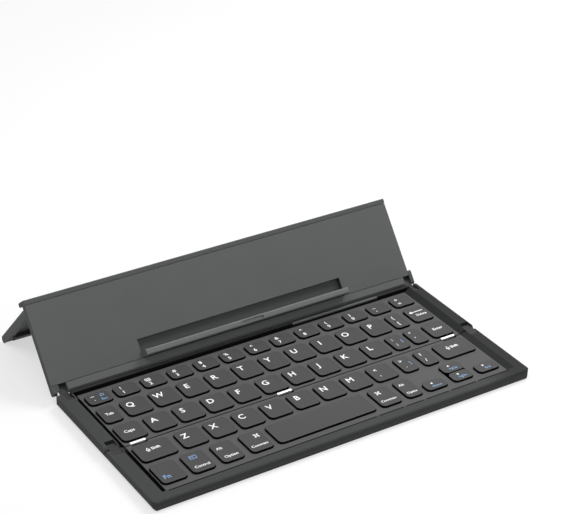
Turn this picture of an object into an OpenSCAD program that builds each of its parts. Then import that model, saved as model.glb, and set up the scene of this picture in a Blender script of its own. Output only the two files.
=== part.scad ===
// Folding keyboard: two key panels and a tablet stand that close up into one slab.
// +X runs along the key rows to the right, +Y runs from the front edge to the stand, +Z is up.
// The origin is on the desk, under the middle of the unfolded keyboard's outline.

/* [Keys] */
// Distance between the middles of two letter keys
key_pitch = 17.14; // [16:0.1:20]
// Gap between two letter keys of one row
key_gap = 2.74; // [2:0.1:4]
// Depth of a letter key, front to back
key_d = 14.7; // [12:0.1:18]
// Depth of a number key
number_key_d = 10; // [8:0.1:14]
// Depth of a key in the front row
front_key_d = 16.8; // [15:0.1:20]
// Gap between two key rows
row_gap = 3.85; // [3:0.05:5]
// Height of the key tops over the desk
key_top_z = 5.6; // [5.4:0.1:6.2]
// Height of a key cap, top to skirt
key_h = 2.85; // [2.4:0.05:3]
// Corner radius of a key cap seen from above
key_corner_r = 2.6; // [1:0.1:4]
// How far a key goes down
key_travel = 1.1; // [0.8:0.1:1.2]
// Thickness of a key cap's top
cap_top_t = 1.3; // [0.9:0.1:1.5]
// Thickness of a key cap's skirt
cap_wall_t = 0.9; // [0.7:0.1:1.2]
// Clearance between a key cap and its opening
key_clear = 0.35; // [0.25:0.05:0.5]

/* [Panels] */
// Width of the left rim, over the battery
left_rim_w = 9.2; // [9:0.1:14]
// Width of the flat top of the right rim
right_rim_w = 6.3; // [6:0.1:10]
// Width of the slope inside the right rim
right_slope_w = 3.7; // [2:0.1:6]
// Height of the rims on the middle panel
middle_rim_h = 6.9; // [6.6:0.1:8]
// Height of the rims on the front panel
front_rim_h = 6.1; // [5.9:0.1:8]
// Height of the deck between the keys
deck_z = 4.4; // [4.2:0.1:4.8]
// Thickness of the key plate that makes the deck
deck_t = 1.0; // [0.8:0.1:1.2]
// Height where the bottom trays meet the bezels
split_z = 2.4; // [2.2:0.1:2.8]
// Gap under the trays, which the feet fill
foot_gap = 0.4; // [0.3:0.1:1]
// Thickness of a tray's floor
floor_t = 0.7; // [0.6:0.1:0.8]
// Thickness of the wall behind the number keys
rear_wall_t = 2.1; // [1.8:0.1:4]
// Width of the rim along the front edge
front_rim_w = 5.8; // [4:0.1:10]
// Radius under the side walls
under_r = 3.2; // [1:0.1:3.4]
// Radius along the top edges of the rims
rim_edge_r = 0.7; // [0.3:0.1:1]
// Radius of the two front corners seen from above
front_corner_r = 3; // [1:0.5:6]
// Gap between the two panels at the fold
seam_gap = 0.6; // [0.4:0.1:1]
// Width of the slope inside the left rim
left_slope_w = 0.9; // [0.1:0.1:0.9]
// Width of the channel between the left rim and the deck
channel_w = 2.4; // [0.3:0.1:2.4]
// Gap between the deck and the front rim
deck_gap = 0.4; // [0.1:0.1:0.6]
// Radius along the top of the front edge
front_edge_r = 1.4; // [0.7:0.1:2]

/* [Fold between the panels] */
// Height of the two fold axes
fold_axis_z = 3.7; // [3.6:0.1:3.9]
// Radius of the fold links' round ends
fold_link_r = 2.1; // [1.8:0.1:2.2]
// Width of a fold link along the fold
fold_link_w = 5.2; // [4:0.1:5.3]
// Radius of the fold pins
fold_pin_r = 0.8; // [0.6:0.05:1]

/* [Stand] */
// How far the stand's plate stops short of the panels' right side
plate_short = 2; // [1.9:0.1:2.2]
// Length of the stand's face from the strip's seam to the top edge
stand_h = 47.8; // [46:0.1:60]
// How far the stand's face stands up from level
stand_angle = 50.9; // [50:0.1:52]
// Thickness of the stand's plate
stand_t = 4.1; // [4:0.1:4.4]
// Thickness of the stand at its top bar
stand_full_t = 8.6; // [8.5:0.1:9]
// Thickness of the stand's face plate
face_t = 0.8; // [0.6:0.05:0.8]
// Width of the strip along the foot of the stand
strip_h = 4; // [3:0.1:4.4]
// Width of the parting lines round the stand's face
parting_w = 0.3; // [0.2:0.05:0.4]
// Radius of the stand links' lower ends
stand_link_r = 1.9; // [1.6:0.1:2]
// Radius of the stand links' upper ends
stand_link_tip_r = 1.4; // [1.2:0.1:1.4]
// Radius of the stand link pins
stand_pin_r = 0.7; // [0.5:0.05:0.75]

/* [Kickstand and ledge] */
// Thickness of the kickstand
kickstand_t = 4.3; // [3.8:0.1:4.3]
// How far the kickstand is set in from the stand's ends
kickstand_inset = 3.4; // [3:0.1:6]
// How far the kickstand opens
kickstand_angle = 81.5; // [78:0.5:84]
// Width of the ledge that the tablet stands on
ledge_w = 132.2; // [100:0.5:170]
// Thickness of the ledge
ledge_t = 3.5; // [3:0.1:3.5]
// How far the open ledge reaches out of the stand's face
ledge_reach = 6.6; // [5:0.1:6.6]

/* [Hidden] */
$fn = 48;
margin = 0.5;
nominal_pitch = 17.14;
k = key_pitch / nominal_pitch;

// ---- widths, left to right
field_w = 216.8 * k;
body_w = left_rim_w + field_w + right_slope_w + right_rim_w;
left_x = -body_w / 2;
right_x = body_w / 2;
field_x = left_x + left_rim_w;
field_end_x = field_x + field_w;

// ---- heights
tray_z = foot_gap;
tray_wall = 1.5;
tray_side = 3.2;
floor_z = tray_z + floor_t;
membrane_t = 0.2;
sheet_t = 0.2;
sheet_z = floor_z + membrane_t;
dome_z = sheet_z + sheet_t;
deck_under_z = deck_z - deck_t;
cap_z = key_top_z - key_h;
cap_ceiling_z = key_top_z - cap_top_t;
plunger_h = 0.35;
dome_clear = 0.15;
dome_h = cap_ceiling_z - plunger_h - key_travel - dome_clear - dome_z;

// ---- fold between the panels: two axes side by side, joined by links
fold_clear = 1.35;
stack_clear = 0.25;
running = 0.05;
slot_clear = 0.15;
fold_span = middle_rim_h + front_rim_h + fold_clear - 2 * fold_axis_z;
folded_z = middle_rim_h + front_rim_h + fold_clear;
middle_end_r = max(middle_rim_h - fold_axis_z, (fold_span - seam_gap) / 2);
front_end_r = max(front_rim_h - fold_axis_z,
    min((fold_span - seam_gap) / 2, fold_span - middle_end_r - slot_clear));

// ---- key rows, measured from the fold
home_margin = 2.5;
bottom_margin = 3.4;
wall_margin = 3.8;
front_margin = 5.55;
home_y0 = home_margin;
top_y0 = home_y0 + key_d + row_gap;
number_y0 = top_y0 + key_d + row_gap;
rear_wall_y = number_y0 + number_key_d + wall_margin;
rear_y = rear_wall_y + rear_wall_t;
bottom_y1 = -bottom_margin;
front_row_y1 = bottom_y1 - key_d - row_gap;
front_row_y0 = front_row_y1 - front_key_d;
front_rim_y = front_row_y0 - front_margin;
front_y = front_rim_y - front_rim_w;

// ---- stand linkage, measured from the fold: link_y, link_z is the lower axis
link_set_back = 4.8;
link_y = rear_y - link_set_back;
link_z = 4.2;
tip_u = 1.8;
tip_t = 2.2;
closed_z = folded_z + stack_clear;
link_len = closed_z + tip_t - link_z;
link_angle = stand_angle / 2;
base_y = link_y + link_len * cos(link_angle) - tip_u * cos(stand_angle) - tip_t * sin(stand_angle);
base_z = link_z + link_len * sin(link_angle) - tip_u * sin(stand_angle) + tip_t * cos(stand_angle);

// ---- stand, in its own plane: u runs up the face, t runs back through the thickness
seam_u = 1;
spine_u = -4.6;
top_u = seam_u + stand_h;
bar_w = 2.5;
bar_u = top_u - bar_w;
kick_r = kickstand_t / 2;
kick_clear = 0.15;
pivot_u = bar_u - kick_clear - kick_r;
pivot_t = stand_full_t - 0.05 - kick_r;
pivot_y = base_y + pivot_u * cos(stand_angle) + pivot_t * sin(stand_angle);
pivot_z = base_z + pivot_u * sin(stand_angle) - pivot_t * cos(stand_angle);
kick_slope = 180 + stand_angle + kickstand_angle;
kick_len = (pivot_z - kick_r) / -sin(kick_slope);
kick_tip_y = pivot_y + kick_len * cos(kick_slope) + kick_r;

// ---- the origin is under the middle of the whole outline
seam_y = -(front_y + kick_tip_y) / 2;

// ---- side pieces: where the links run, left and right
fold_link_x = [left_x + 2.5, right_x - 6.1];
stand_link_x = [left_x + 4.2, right_x - 6.1];
stand_link_w = [4.1, 3.7];
stand_x0 = left_x;
stand_x1 = right_x - plate_short;
ear_x = [[stand_x0, stand_x0 + 2.3], [stand_x1 - 0.1, right_x]];

// ---- small parts
post_r = 1.0;
post_step = 30;
post_count = 7;
foot_r = 4.5;
foot_seat = 0.35;
tongue_x = [15, 104.2, 213.6];
tongue_w = 9;
tongue_d = 1.5;
tongue_up = 0.3;
notch_d = 1.3;
battery_size = [6.4, 35, 3.3];
board_t = 0.8;
port_size = [5.5, 7.5, 2.6];
port_y = 36.8;
port_wall = 0.35;

// ================= drawing helpers =================

// Takes the sharp corner at (a, b) off an outline that lies towards (sa, sb)
module corner_cut(a, b, sa, sb, r) {
    difference() {
        translate([a - (sa > 0 ? margin : r), b - (sb > 0 ? margin : r)])
            square(r + margin);
        translate([a + sa * r, b + sb * r])
            circle(r);
    }
}

// A box outline with its own radius at each corner: low-low, high-low, high-high, low-high
module soft_box(a0, a1, b0, b1, radii) {
    difference() {
        translate([a0, b0])
            square([a1 - a0, b1 - b0]);
        if (radii[0] > 0) corner_cut(a0, b0, 1, 1, radii[0]);
        if (radii[1] > 0) corner_cut(a1, b0, -1, 1, radii[1]);
        if (radii[2] > 0) corner_cut(a1, b1, -1, -1, radii[2]);
        if (radii[3] > 0) corner_cut(a0, b1, 1, -1, radii[3]);
    }
}

// A straight bar with round ends from p to q
module round_bar(p, q, w) {
    length = norm(q - p);
    translate(p)
        rotate(atan2(q[1] - p[1], q[0] - p[0])) {
            translate([0, -w / 2])
                square([length, w]);
            circle(w / 2);
            translate([length, 0])
                circle(w / 2);
        }
}

// Draws an outline of Y and Z, and runs it along X
module along_x(x0, x1) {
    translate([x0, 0, 0])
        rotate([90, 0, 90])
            linear_extrude(x1 - x0)
                children();
}

// Draws an outline of X and Z, and runs it along Y
module along_y(y0, y1) {
    translate([0, y1, 0])
        rotate([90, 0, 0])
            linear_extrude(y1 - y0)
                children();
}

module rod_x(x0, x1, y, z, r) {
    translate([x0, y, z])
        rotate([0, 90, 0])
            cylinder(h = x1 - x0, r = r);
}

module box(x0, x1, y0, y1, z0, z1) {
    translate([x0, y0, z0])
        cube([x1 - x0, y1 - y0, z1 - z0]);
}

// Moves what is measured from the fold to its place over the origin
module at_fold() {
    translate([0, seam_y, 0])
        children();
}

// Puts what is drawn in the stand's plane, with Y as u and Z as -t, into its open pose
module on_stand() {
    translate([0, seam_y + base_y, base_z])
        rotate([stand_angle, 0, 0])
            children();
}

// ================= key layout =================

// Left edge and width of every key, measured from the left end of the key field
function span(x, w) = [field_x + x * k, w * k];
letter_w = nominal_pitch - key_gap;
function letters(first, count) =
    [for (i = [0 : count - 1]) span(first + i * nominal_pitch - letter_w / 2, letter_w)];
number_step = 16.45;
tilde = span(4, 13.7);
numbers = [for (i = [1 : 12]) span(4.2 + i * number_step, 13.5)];
tab = span(3.6, 10.2);
top_letters = letters(24.5, 10);
bracket = span(188.7, 9.6);
delete = span(202, 13.1);
caps_lock = span(3.5, 14.5);
home_letters = letters(28.3, 9);
home_marks = [span(175.4, 9.6), span(188.3, 9.6)];
enter = span(201.2, 13.9);
left_shift = span(3.5, 20.6);
bottom_letters = letters(35, 8);
bottom_marks = [span(166.2, 9.6), span(180, 9.55)];
right_shift = span(193.3, 21.7);
fn = span(3.3, 14.1);
control = span(20.8, 13);
left_option = span(38.1, 12.7);
left_command = span(55.2, 13.1);
space = span(71.6, 60.9);
right_command = span(136.2, 12.9);
right_option = span(152.9, 10);
left_arrow = span(166.2, 13.6);
up_arrow = span(184.1, 13);
right_arrow = span(201.2, 13.8);

half_key_gap = 0.8;
half_key_d = (front_key_d - half_key_gap) / 2;

number_row = [tilde, each numbers];
top_row = [tab, each top_letters, bracket, delete];
home_row = [caps_lock, each home_letters, each home_marks, enter];
bottom_row = [left_shift, each bottom_letters, each bottom_marks, right_shift];
front_row = [fn, control, left_option, left_command, space, right_command, right_option];
side_arrows = [left_arrow, right_arrow];

// One hollow key cap: skirt, stepped top edge and the plunger over the dome
module key_cap(key, y0, depth) {
    edge = 0.3;
    plunger_r = 1.2;
    x0 = key[0];
    x1 = key[0] + key[1];
    difference() {
        union() {
            translate([0, 0, cap_z])
                linear_extrude(key_h - edge)
                    soft_box(x0, x1, y0, y0 + depth, [for (i = [0 : 3]) key_corner_r]);
            translate([0, 0, key_top_z - edge])
                linear_extrude(edge)
                    soft_box(x0 + edge, x1 - edge, y0 + edge, y0 + depth - edge,
                        [for (i = [0 : 3]) key_corner_r - edge]);
        }
        box(x0 + cap_wall_t, x1 - cap_wall_t, y0 + cap_wall_t, y0 + depth - cap_wall_t,
            cap_z - margin, cap_ceiling_z);
    }
    translate([(x0 + x1) / 2, y0 + depth / 2, cap_ceiling_z - plunger_h])
        cylinder(h = plunger_h + edge, r = plunger_r);
}

module key_row(keys, y0, depth) {
    color([0.25, 0.25, 0.24])
        at_fold()
            for (key = keys)
                key_cap(key, y0, depth);
}

// The openings that a row of keys needs in the key plate
module key_openings(keys, y0, depth) {
    for (key = keys)
        translate([0, 0, deck_under_z - margin])
            linear_extrude(deck_t + 2 * margin)
                soft_box(key[0] - key_clear, key[0] + key[1] + key_clear,
                    y0 - key_clear, y0 + depth + key_clear,
                    [for (i = [0 : 3]) key_corner_r + key_clear]);
}

// The rubber domes under a row of keys
module key_domes(keys, y0, depth) {
    dome_r = 2.6;
    dome_top_r = 1.4;
    for (key = keys)
        translate([key[0] + key[1] / 2, y0 + depth / 2, dome_z - 0.01])
            cylinder(h = dome_h + 0.01, r1 = dome_r, r2 = dome_top_r);
}

// ================= what both panels share =================

// A panel's outer shape between two heights
module panel_block(y0, y1, top, z0, z1, plan_radii, front_r) {
    under_edge_r = 0.5;
    intersection() {
        translate([0, 0, z0])
            linear_extrude(z1 - z0)
                soft_box(left_x, right_x, y0, y1, plan_radii);
        along_y(y0 - margin, y1 + margin)
            soft_box(left_x, right_x, tray_z, top, [under_r, under_r, rim_edge_r, rim_edge_r]);
        along_x(left_x - margin, right_x + margin)
            soft_box(y0, y1, tray_z, top, [under_edge_r, under_edge_r, rim_edge_r, front_r]);
    }
}

// The room between the rims, over the deck, with the slope inside the right rim
module field_cut(y0, y1, top) {
    along_y(y0, y1)
        polygon([[field_x, split_z - margin], [field_end_x, split_z - margin],
            [field_end_x, deck_z], [field_end_x + right_slope_w, top],
            [field_end_x + right_slope_w, top + margin], [field_x, top + margin]]);
}

// The narrow slope inside the left rim, over the channel
module left_slope_cut(y0, y1, top) {
    along_y(y0, y1)
        polygon([[field_x, deck_z], [field_x + margin, deck_z],
            [field_x + margin, top + margin], [field_x - left_slope_w, top + margin],
            [field_x - left_slope_w, top]]);
}

// Room for the fold links round the axis at y, open towards the fold
module fold_slots(y, toward) {
    r = fold_link_r + slot_clear + 0.1;
    for (x = fold_link_x) {
        x0 = x - slot_clear;
        x1 = x + fold_link_w + slot_clear;
        rod_x(x0, x1, y, fold_axis_z, r);
        box(x0, x1, min(y - toward * r, y + toward * 4), max(y - toward * r, y + toward * 4),
            fold_axis_z, middle_rim_h + margin);
        box(x0, x1, min(y, y + toward * 4), max(y, y + toward * 4),
            fold_axis_z - r, fold_axis_z + margin);
    }
}

// Takes the rims' upper corners beside the fold off, round the fold axis
module rim_end_cut(y, toward, r) {
    along_x(left_x - margin, right_x + margin)
        difference() {
            translate([min(y, y + toward * 5), fold_axis_z])
                square([5, r + margin]);
            translate([y, fold_axis_z])
                circle(r);
        }
}

// Holes for the fold pins, blind towards the outside
module fold_pin_holes(y) {
    for (i = [0, 1])
        rod_x(fold_pin_x(i)[0], fold_pin_x(i)[1], y, fold_axis_z, fold_pin_r + 0.01);
}
function fold_pin_x(i) = i == 0
    ? [fold_link_x[0] - 1.6, fold_link_x[0] + fold_link_w + 1.2]
    : [fold_link_x[1] - 2, fold_link_x[1] + fold_link_w + 0.6];

module fold_pins(y) {
    color("silver")
        at_fold()
            for (i = [0, 1])
                rod_x(fold_pin_x(i)[0], fold_pin_x(i)[1], y, fold_axis_z, fold_pin_r);
}

function post_x(i) = field_x + field_w / 2 + (i - (post_count - 1) / 2) * post_step * k;

// Posts that carry the key plate between two key rows
module posts(y, r, z0, z1) {
    for (i = [0 : post_count - 1])
        translate([post_x(i), y, z0])
            cylinder(h = z1 - z0, r = r);
}

// Holes through a thin sheet for the posts and a cut where the links reach in
module sheet(x0, x1, y0, y1, z, t, post_rows) {
    difference() {
        box(x0, x1, y0, y1, z, z + t);
        for (y = post_rows)
            posts(y, post_r + 0.3, z - margin, z + t + margin);
    }
}

module feet(places) {
    color([0.12, 0.12, 0.12])
        at_fold()
            for (p = places)
                translate([p[0], p[1], 0])
                    cylinder(h = tray_z + foot_seat, r = foot_r);
}

module foot_seats(places) {
    for (p = places)
        translate([p[0], p[1], tray_z - margin])
            cylinder(h = foot_seat + margin, r = foot_r + 0.05);
}

// ================= middle panel =================

middle_y0 = seam_gap / 2;
middle_axis_y = fold_span / 2;
foot_in = 18;
middle_feet_at = [for (x = [left_x + foot_in, right_x - foot_in], y = [9, 46]) [x, y]];
middle_posts_y = [home_y0 + key_d + row_gap / 2, top_y0 + key_d + row_gap / 2];
middle_plan_radii = [0.4, 0.4, 2, 2];

module middle_block(z0, z1) {
    panel_block(middle_y0, rear_y, middle_rim_h, z0, z1, middle_plan_radii, rim_edge_r);
}

// Room for the stand links, open to the top and the rear
module stand_slots() {
    r = stand_link_r + 0.25;
    low = link_z - 1.45;
    for (i = [0, 1]) {
        x0 = stand_link_x[i] - slot_clear;
        x1 = stand_link_x[i] + stand_link_w[i] + slot_clear;
        rod_x(x0, x1, link_y, link_z, r);
        box(x0, x1, link_y - r, rear_y + margin, link_z, middle_rim_h + margin);
        box(x0, x1, link_y, rear_y + margin, low, link_z + margin);
    }
}

function lower_pin_x(i) = i == 0
    ? [stand_link_x[0] - 3, stand_link_x[0] + stand_link_w[0] + 0.7]
    : [stand_link_x[1] - 2.5, stand_link_x[1] + stand_link_w[1] + 1.6];

module middle_tray() {
    color([0.24, 0.25, 0.25])
        at_fold()
            difference() {
                union() {
                    difference() {
                        middle_block(tray_z, split_z);
                        box(left_x + tray_side, right_x - tray_side, middle_y0 + tray_wall,
                            rear_y - tray_wall, floor_z, split_z + margin);
                    }
                    box(field_x + 1, field_end_x - 1, middle_y0, middle_y0 + 1,
                        split_z - 0.5, deck_under_z);
                    for (y = middle_posts_y)
                        posts(y, post_r, floor_z - 0.1, deck_under_z);
                    for (y = [board_y0 + 2, board_y0 + 14])
                        translate([right_x - 6, y, floor_z - 0.1])
                            cylinder(h = board_z - floor_z + 0.1, r = 1);
                }
                fold_slots(middle_axis_y, -1);
                stand_slots();
                foot_seats(middle_feet_at);
            }
}

battery_x = left_x + 1.4;
battery_y = 10.4;
battery_z = split_z + 0.1;
board_x0 = field_end_x - 0.6;
board_y0 = 29;
board_z = 2.0;

module middle_bezel() {
    color([0.26, 0.27, 0.26])
        at_fold()
            difference() {
                middle_block(split_z, middle_rim_h);
                field_cut(middle_y0 - margin, rear_wall_y, middle_rim_h);
                left_slope_cut(middle_y0 - margin, link_y - 2 * stand_link_r, middle_rim_h);
                fold_slots(middle_axis_y, -1);
                rim_end_cut(middle_axis_y, -1, middle_end_r);
                stand_slots();
                fold_pin_holes(middle_axis_y);
                for (i = [0, 1])
                    rod_x(lower_pin_x(i)[0], lower_pin_x(i)[1], link_y, link_z,
                        stand_pin_r + 0.01);
                // pockets for the battery, the board and the port
                box(battery_x - 0.2, battery_x + battery_size[0] + 0.2, battery_y - 0.2,
                    battery_y + battery_size[1] + 0.2, split_z - margin,
                    battery_z + battery_size[2] + 0.1);
                box(field_end_x - margin, right_x - tray_side, board_y0 - 0.3, board_y0 + 16.3,
                    split_z - margin, board_z + board_t + 0.15);
                box(right_x - port_size[0] - 0.15, right_x + margin,
                    port_y - port_size[1] / 2 - 0.1, port_y + port_size[1] / 2 + 0.1,
                    split_z, board_z + board_t + port_size[2] + 0.1);
                // seat for the strip on the rear wall
                box(strip_x0, strip_x1, strip_y0 - margin, strip_y1, middle_rim_h - strip_seat,
                    middle_rim_h + margin);
            }
}

// The deck of the middle panel, with one opening for each key and cuts for the tongues
module middle_key_plate() {
    side_clear = 0.1;
    color([0.39, 0.39, 0.38])
        at_fold()
            difference() {
                box(field_x + channel_w, field_end_x - side_clear, middle_y0 + 0.05,
                    rear_wall_y - side_clear, deck_under_z, deck_z);
                key_openings(number_row, number_y0, number_key_d);
                key_openings(top_row, top_y0, key_d);
                key_openings(home_row, home_y0, key_d);
                for (x = tongue_x)
                    box(left_x + x, left_x + x + tongue_w, 0, middle_y0 + tongue_d,
                        deck_under_z - margin, deck_z + margin);
            }
}

module middle_membrane() {
    color([0.75, 0.78, 0.7])
        at_fold()
            sheet(field_x + 1.2, field_end_x - 1.2, middle_y0 + 2, rear_wall_y - 0.4, floor_z,
                membrane_t, middle_posts_y);
}

module middle_domes() {
    color([0.8, 0.8, 0.78])
        at_fold() {
            sheet(field_x + 1.2, field_end_x - 1.2, middle_y0 + 2, rear_wall_y - 0.4, sheet_z,
                sheet_t, middle_posts_y);
            key_domes(number_row, number_y0, number_key_d);
            key_domes(top_row, top_y0, key_d);
            key_domes(home_row, home_y0, key_d);
        }
}

module circuit_board() {
    chip = [4, 5, 0.7];
    color([0.1, 0.35, 0.2])
        at_fold() {
            box(board_x0, right_x - tray_side - 0.1, board_y0, board_y0 + 16, board_z, board_z + board_t);
            translate([board_x0 + 0.8, board_y0 + 4, board_z - chip[2]])
                cube(chip);
        }
}

module battery() {
    color([0.6, 0.62, 0.65])
        at_fold()
            translate([battery_x, battery_y, battery_z])
                cube(battery_size);
}

// Charging socket: a thin metal shell with a contact tongue, open to the right
module charging_port() {
    x1 = right_x - 0.15;
    x0 = x1 - port_size[0];
    z0 = board_z + board_t;
    mid_z = z0 + port_size[2] / 2;
    color("silver")
        at_fold() {
            difference() {
                along_x(x0, x1)
                    soft_box(port_y - port_size[1] / 2, port_y + port_size[1] / 2, z0,
                        z0 + port_size[2], [0.9, 0.9, 0.3, 0.3]);
                along_x(x0 + 0.8, x1 + margin)
                    soft_box(port_y - port_size[1] / 2 + port_wall,
                        port_y + port_size[1] / 2 - port_wall, z0 + port_wall,
                        z0 + port_size[2] - port_wall, [0.6, 0.6, 0.1, 0.1]);
            }
            box(x0 + 0.7, x1 - 0.9, port_y - 2.2, port_y + 2.2, mid_z - 0.1, mid_z + 0.45);
        }
}

// Strip let into the top edge of the wall behind the number keys
strip_x0 = left_x + 148 * k;
strip_x1 = left_x + 206.4 * k;
strip_y0 = rear_wall_y - 0.15;
strip_y1 = rear_wall_y + 0.9;
strip_seat = 1;
strip_up = 0.1;

module rear_strip() {
    color([0.6, 0.62, 0.62])
        at_fold()
            along_x(strip_x0 + 0.05, strip_x1 - 0.05)
                soft_box(strip_y0, strip_y1 - 0.05, middle_rim_h - strip_seat,
                    middle_rim_h + strip_up, [0.1, 0, 0, 0.35]);
}

// Steel tongues along the middle panel's edge, beside the fold
module stop_tongues() {
    color([0.85, 0.86, 0.88])
        at_fold()
            for (x = tongue_x)
                along_x(left_x + x + 0.05, left_x + x + tongue_w - 0.05)
                    soft_box(middle_y0 + 0.05, middle_y0 + tongue_d, deck_under_z,
                        deck_z + tongue_up, [0, 0, 0.1, 0.5]);
}

module middle_feet() {
    feet(middle_feet_at);
}

module middle_fold_pins() {
    fold_pins(middle_axis_y);
}

module lower_stand_pins() {
    color("silver")
        at_fold()
            for (i = [0, 1])
                rod_x(lower_pin_x(i)[0], lower_pin_x(i)[1], link_y, link_z, stand_pin_r);
}

// Links that join the two panels: each turns on a pin at either end
module fold_links() {
    color([0.2, 0.2, 0.2])
        at_fold()
            for (x = fold_link_x)
                difference() {
                    along_x(x, x + fold_link_w)
                        round_bar([front_axis_y, fold_axis_z], [middle_axis_y, fold_axis_z],
                            2 * fold_link_r);
                    for (y = [front_axis_y, middle_axis_y])
                        rod_x(x - margin, x + fold_link_w + margin, y, fold_axis_z,
                            fold_pin_r + running);
                }
}

// ================= front panel =================

front_y1 = -seam_gap / 2;
front_axis_y = -fold_span / 2;
front_feet_at = [for (x = [left_x + foot_in, right_x - foot_in], y = [-8.5, front_y + 8]) [x, y]];
front_posts_y = [front_row_y1 + row_gap / 2];
front_plan_radii = [front_corner_r, front_corner_r, 0.4, 0.4];

module front_block(z0, z1) {
    panel_block(front_y, front_y1, front_rim_h, z0, z1, front_plan_radii, front_edge_r);
}

module front_tray() {
    color([0.24, 0.25, 0.25])
        at_fold()
            difference() {
                union() {
                    difference() {
                        front_block(tray_z, split_z);
                        box(left_x + tray_side, right_x - tray_side, front_y + tray_wall,
                            front_y1 - tray_wall, floor_z, split_z + margin);
                    }
                    box(field_x + 1, field_end_x - 1, front_y1 - 1, front_y1,
                        split_z - 0.5, deck_under_z);
                    for (y = front_posts_y)
                        posts(y, post_r, floor_z - 0.1, deck_under_z);
                }
                fold_slots(front_axis_y, 1);
                foot_seats(front_feet_at);
            }
}

module front_bezel() {
    color([0.26, 0.27, 0.26])
        at_fold()
            difference() {
                front_block(split_z, front_rim_h);
                field_cut(front_rim_y, front_y1 + margin, front_rim_h);
                left_slope_cut(front_rim_y, front_y1 + margin, front_rim_h);
                fold_slots(front_axis_y, 1);
                rim_end_cut(front_axis_y, 1, front_end_r);
                fold_pin_holes(front_axis_y);
            }
}

module front_key_plate() {
    side_clear = 0.1;
    color([0.39, 0.39, 0.38])
        at_fold()
            difference() {
                box(field_x + channel_w, field_end_x - side_clear, front_rim_y + deck_gap,
                    front_y1 - 0.05, deck_under_z, deck_z);
                key_openings(bottom_row, bottom_y1 - key_d, key_d);
                key_openings(front_row, front_row_y0, front_key_d);
                key_openings([up_arrow], front_row_y0, front_key_d);
                key_openings(side_arrows, front_row_y0, half_key_d);
                for (x = tongue_x)
                    box(left_x + x - 0.3, left_x + x + tongue_w + 0.3, front_y1 - notch_d,
                        front_y1 + margin, deck_under_z - margin, deck_z + margin);
            }
}

module front_membrane() {
    color([0.75, 0.78, 0.7])
        at_fold()
            sheet(field_x + 1.2, field_end_x - 1.2, front_rim_y - 2, front_y1 - 2, floor_z,
                membrane_t, front_posts_y);
}

module front_domes() {
    color([0.8, 0.8, 0.78])
        at_fold() {
            sheet(field_x + 1.2, field_end_x - 1.2, front_rim_y - 2, front_y1 - 2, sheet_z,
                sheet_t, front_posts_y);
            key_domes(bottom_row, bottom_y1 - key_d, key_d);
            key_domes(front_row, front_row_y0, front_key_d);
            key_domes(side_arrows, front_row_y0, half_key_d);
            key_domes([up_arrow], front_row_y0, half_key_d);
            key_domes([up_arrow], front_row_y0 + half_key_d + half_key_gap, half_key_d);
        }
}

module front_feet() {
    feet(front_feet_at);
}

module front_fold_pins() {
    fold_pins(front_axis_y);
}

// ================= stand =================

// Goose-neck links between the middle panel and the stand, drawn along their own axis:
// the neck is set aside so that it passes behind the face when the stand is closed
neck_set = 2.14;
neck_start = 5.5;
neck_end_back = 1;
bar_lower_w = 2.4;
neck_w = 1.7;

module stand_link_outline() {
    a = [0, 0];
    b = [neck_start, -neck_set];
    c = [link_len - neck_end_back, -neck_set];
    d = [link_len, 0];
    circle(stand_link_r);
    round_bar(a, b, bar_lower_w);
    round_bar(b, c, neck_w);
    round_bar(c, d, neck_w);
    translate(d)
        circle(stand_link_tip_r);
}

module stand_links() {
    color([0.2, 0.2, 0.2])
        translate([0, seam_y + link_y, link_z])
            rotate([link_angle, 0, 0])
                for (i = [0, 1])
                    difference() {
                        along_x(stand_link_x[i], stand_link_x[i] + stand_link_w[i])
                            stand_link_outline();
                        rod_x(stand_link_x[i] - margin,
                            stand_link_x[i] + stand_link_w[i] + margin, 0, 0,
                            stand_pin_r + running);
                        rod_x(stand_link_x[i] - margin,
                            stand_link_x[i] + stand_link_w[i] + margin, link_len, 0,
                            stand_pin_r + running);
                    }
}

ledge_x0 = left_x + 55.5 * k;
ledge_x1 = ledge_x0 + ledge_w;
ledge_r = ledge_t / 2;
ledge_u = seam_u + 0.3 + ledge_r;
ledge_clear = 0.2;
ledge_pin_r = 0.6;
recess_u1 = ledge_u + ledge_r + ledge_reach + 0.3;
recess_t = ledge_t + 0.15;
lug_w = 5;
lug_x = [left_x + 16, -lug_w / 2, right_x - 16 - lug_w];
kick_pin_r = 0.7;
kick_pin_out = 4;
notch_u = 0.9;
tip_slot_u = tip_u + stand_link_tip_r + 0.2;
tip_slot_x = [for (i = [0, 1]) [stand_link_x[i] - slot_clear,
    stand_link_x[i] + stand_link_w[i] + slot_clear]];

// Room in the stand for the links: a notch right through the strip, a slot behind the face
module stand_link_room() {
    for (x = tip_slot_x) {
        box(x[0], x[1], spine_u - margin, notch_u, -stand_full_t - margin, margin);
        box(x[0], x[1], notch_u - margin, tip_slot_u, -stand_full_t - margin, -face_t);
    }
}

module ledge_recess() {
    box(ledge_x0 - ledge_clear, ledge_x1 + ledge_clear, seam_u, recess_u1, -recess_t, margin);
}

// A lug beside the left ear carries the outer end of the link pin
lug_end_u = -3;
lug_sunk = 0.3;
lug_gap_x = [ear_x[0][1], tip_slot_x[0][0]];

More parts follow.
